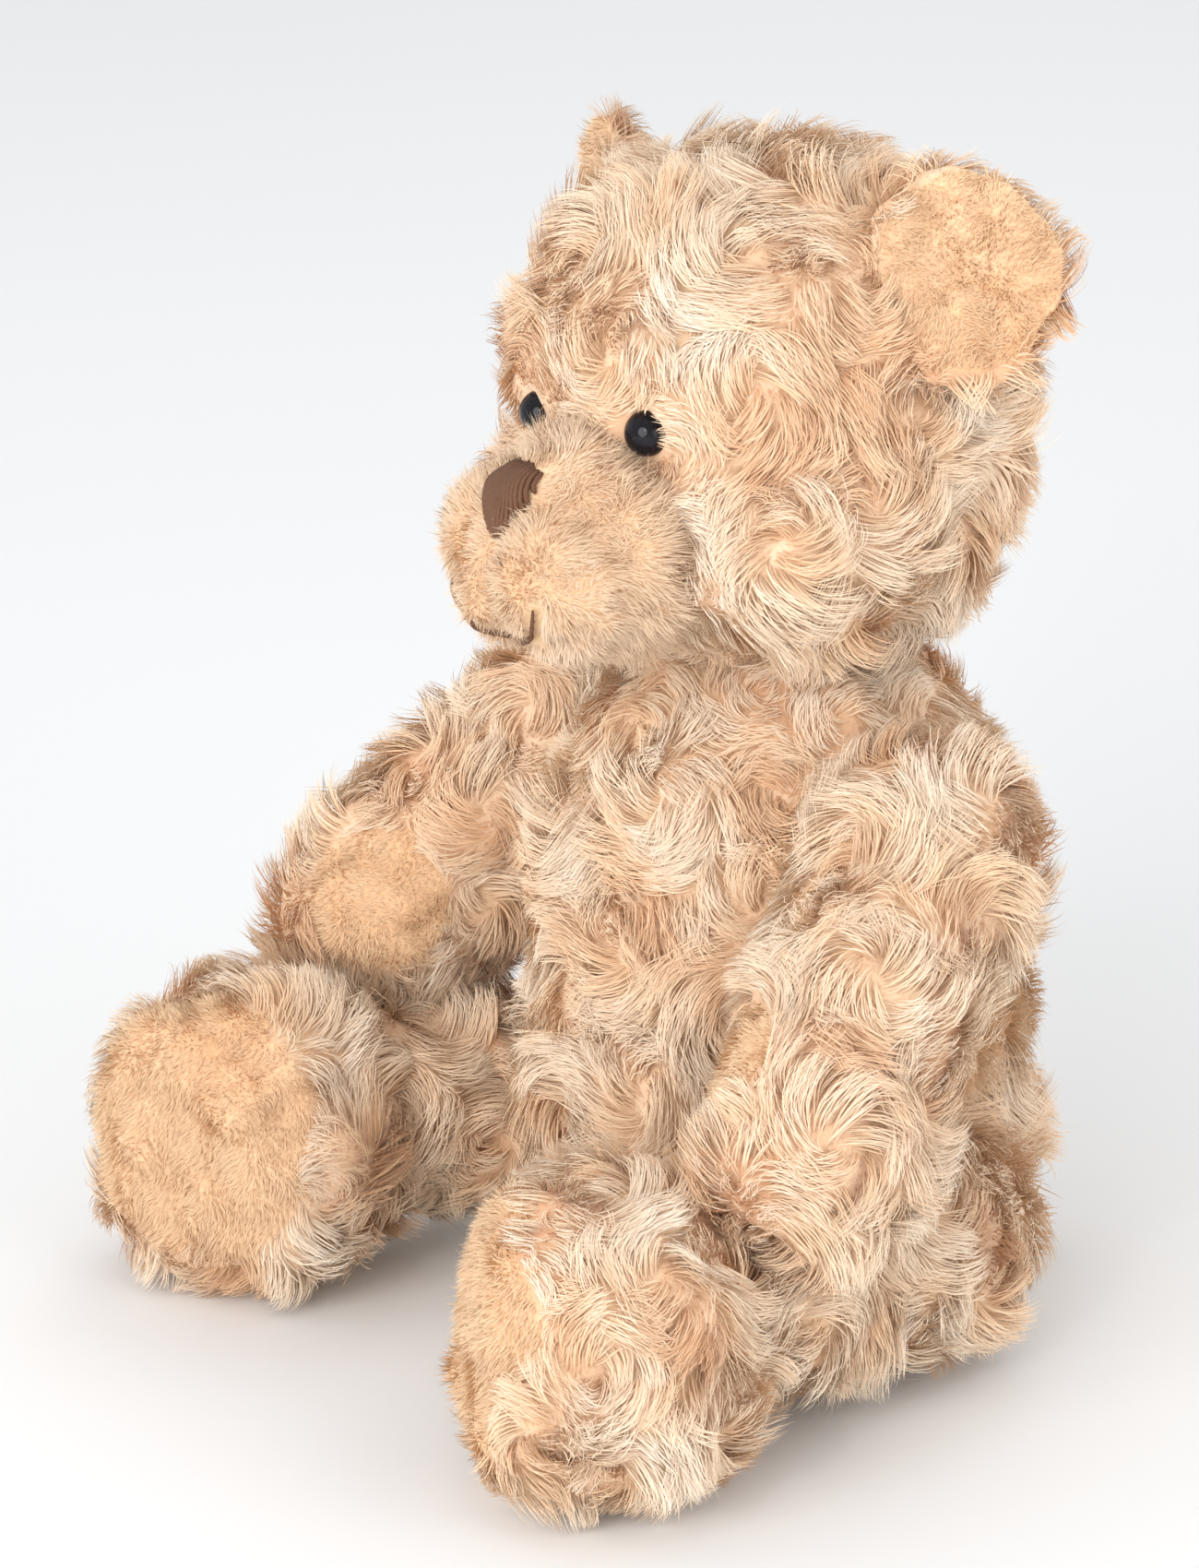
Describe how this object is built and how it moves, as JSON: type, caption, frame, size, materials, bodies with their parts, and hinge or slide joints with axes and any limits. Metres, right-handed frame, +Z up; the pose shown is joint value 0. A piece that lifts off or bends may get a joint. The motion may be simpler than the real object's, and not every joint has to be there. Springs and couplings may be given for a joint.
{
  "type": "jointed teddy bear",
  "caption": "Sitting jointed plush teddy bear in curly cream pile, with short-pile muzzle, ear linings, paw pads and soles; head, arms and legs turn on disc joints.",
  "frame": {"origin": "middle of the flat underside of the body, on the surface that the bear sits on", "axes": "+Z up, the bear faces -Y, its left side is +X"},
  "size_m": [0.219, 0.1945, 0.2671],
  "materials": {
    "curly_plush": "matte",
    "short_pile": "matte",
    "filling": "matte",
    "bag_cloth": "matte",
    "pellets": "matte",
    "joint_plastic": "satin",
    "eye_gloss": "gloss",
    "embroidery_thread": "satin",
    "seam_thread": "matte"
  },
  "bodies": {
    "torso": {"back_closing_seam": "seam_thread", "body_filling": "filling", "body_plush_skin": "curly_plush", "left_hip_fixed_disc": "joint_plastic", "left_hip_plain_washer": "joint_plastic", "left_shoulder_fixed_disc": "joint_plastic", "left_shoulder_plain_washer": "joint_plastic", "neck_fixed_disc": "joint_plastic", "neck_plain_washer": "joint_plastic", "pellet_bag": "bag_cloth", "pellets": "pellets", "right_hip_fixed_disc": "joint_plastic", "right_hip_plain_washer": "joint_plastic", "right_shoulder_fixed_disc": "joint_plastic", "right_shoulder_plain_washer": "joint_plastic", "tail_filling": "filling", "tail_plush_skin": "curly_plush"},
    "head": {"head_filling": "filling", "head_plush_skin": "curly_plush", "left_ear_lining": "short_pile", "left_ear_plush": "curly_plush", "left_eye": "eye_gloss", "left_eye_washer": "joint_plastic", "mouth_embroidery": "embroidery_thread", "muzzle_filling": "filling", "muzzle_skin": "short_pile", "neck_locking_washer": "joint_plastic", "neck_stem_disc": "joint_plastic", "nose_embroidery": "embroidery_thread", "right_ear_lining": "short_pile", "right_ear_plush": "curly_plush", "right_eye": "eye_gloss", "right_eye_washer": "joint_plastic"},
    "left_arm": {"left_arm_filling": "filling", "left_arm_plush_skin": "curly_plush", "left_paw_pad": "short_pile", "left_shoulder_locking_washer": "joint_plastic", "left_shoulder_stem_disc": "joint_plastic"},
    "right_arm": {"right_arm_filling": "filling", "right_arm_plush_skin": "curly_plush", "right_paw_pad": "short_pile", "right_shoulder_locking_washer": "joint_plastic", "right_shoulder_stem_disc": "joint_plastic"},
    "left_leg": {"left_hip_locking_washer": "joint_plastic", "left_hip_stem_disc": "joint_plastic", "left_leg_filling": "filling", "left_leg_plush_skin": "curly_plush", "left_sole_pad": "short_pile"},
    "right_leg": {"right_hip_locking_washer": "joint_plastic", "right_hip_stem_disc": "joint_plastic", "right_leg_filling": "filling", "right_leg_plush_skin": "curly_plush", "right_sole_pad": "short_pile"}
  },
  "joints": [
    {"name": "neck_turn", "type": "hinge", "parent": "torso", "child": "head", "pos_m": [0, 0, 0.1564], "axis": [0, 0, 1], "continuous": true},
    {"name": "left_shoulder_swing", "type": "hinge", "parent": "torso", "child": "left_arm", "pos_m": [0.0432, -0.002, 0.122], "axis": [-1, 0, 0], "range_deg": [0, 75]},
    {"name": "left_hip_swing", "type": "hinge", "parent": "torso", "child": "left_leg", "pos_m": [0.0362, 0.007, 0.03], "axis": [-1, 0, 0], "range_deg": [-90, 0]},
    {"name": "right_shoulder_swing", "type": "hinge", "parent": "torso", "child": "right_arm", "pos_m": [-0.0432, -0.002, 0.122], "axis": [-1, 0, 0], "range_deg": [0, 75]},
    {"name": "right_hip_swing", "type": "hinge", "parent": "torso", "child": "right_leg", "pos_m": [-0.0362, 0.007, 0.03], "axis": [-1, 0, 0], "range_deg": [-90, 0]}
  ]
}
